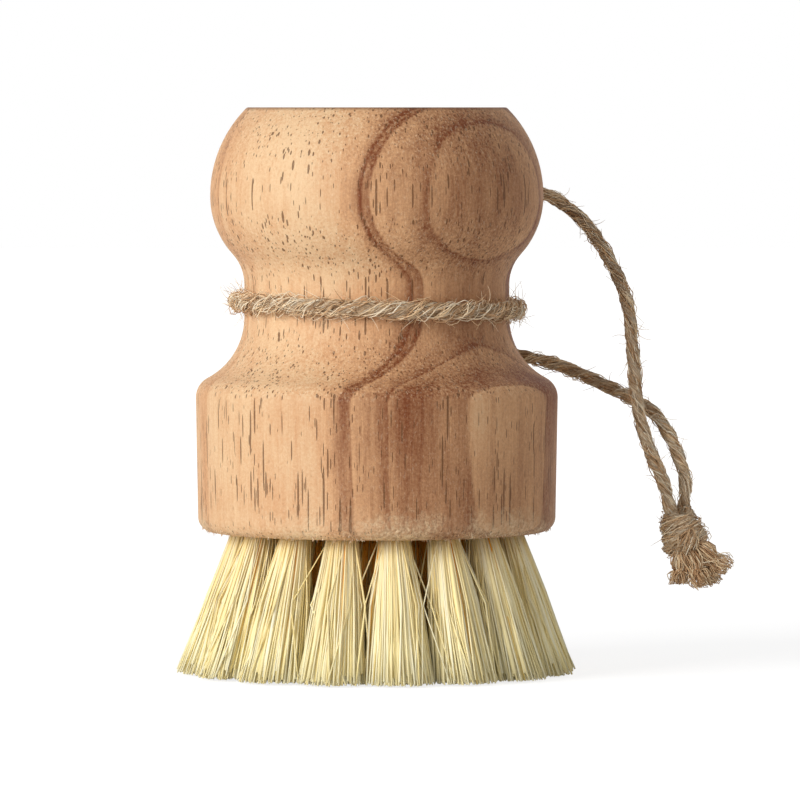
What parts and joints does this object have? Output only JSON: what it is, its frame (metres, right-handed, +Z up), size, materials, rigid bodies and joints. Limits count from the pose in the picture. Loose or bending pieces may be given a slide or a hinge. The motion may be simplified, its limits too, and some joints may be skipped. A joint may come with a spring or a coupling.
{
  "type": "palm brush",
  "caption": "Round palm brush with a turned wooden knob handle, splayed tufts of plant bristle and a knotted twine loop round its waist.",
  "frame": {"origin": "middle of the flat plane that the bristle tips stand on, on the handle's turning axis", "axes": "+Z up along the handle's turning axis, -Y to the front, +X to the side where the twine loop hangs"},
  "size_m": [0.0767, 0.0548, 0.078],
  "materials": {
    "wood": "sanded bare wood, matt",
    "bristle": "stiff pale plant fibre",
    "steel": "drawn flat wire",
    "twine": "two-ply natural twine, hairy"
  },
  "bodies": {
    "brush": {"handle": "wood", "staples": "steel", "tuft_outer_01": "bristle", "tuft_outer_02": "bristle", "tuft_outer_03": "bristle", "tuft_outer_04": "bristle", "tuft_outer_05": "bristle", "tuft_outer_06": "bristle", "tuft_outer_07": "bristle", "tuft_outer_08": "bristle", "tuft_outer_09": "bristle", "tuft_outer_10": "bristle", "tuft_outer_11": "bristle", "tuft_outer_12": "bristle", "tuft_outer_13": "bristle", "tuft_outer_14": "bristle", "tuft_outer_15": "bristle", "tuft_outer_16": "bristle", "tuft_middle_01": "bristle", "tuft_middle_02": "bristle", "tuft_middle_03": "bristle", "tuft_middle_04": "bristle", "tuft_middle_05": "bristle", "tuft_middle_06": "bristle", "tuft_middle_07": "bristle", "tuft_middle_08": "bristle", "tuft_middle_09": "bristle", "tuft_middle_10": "bristle", "tuft_inner_01": "bristle", "tuft_inner_02": "bristle", "tuft_inner_03": "bristle", "tuft_inner_04": "bristle"},
    "hanging_loop": {"twine_neck_turn": "twine", "twine_hitch": "twine", "twine_upper_leg": "twine", "twine_lower_leg": "twine", "twine_knot": "twine", "twine_ends": "twine"}
  },
  "joints": [
    {"name": "loop_swivel", "type": "hinge", "parent": "brush", "child": "hanging_loop", "pos_m": [0, 0, 0.0507], "axis": [0, 0, 1], "continuous": true}
  ]
}
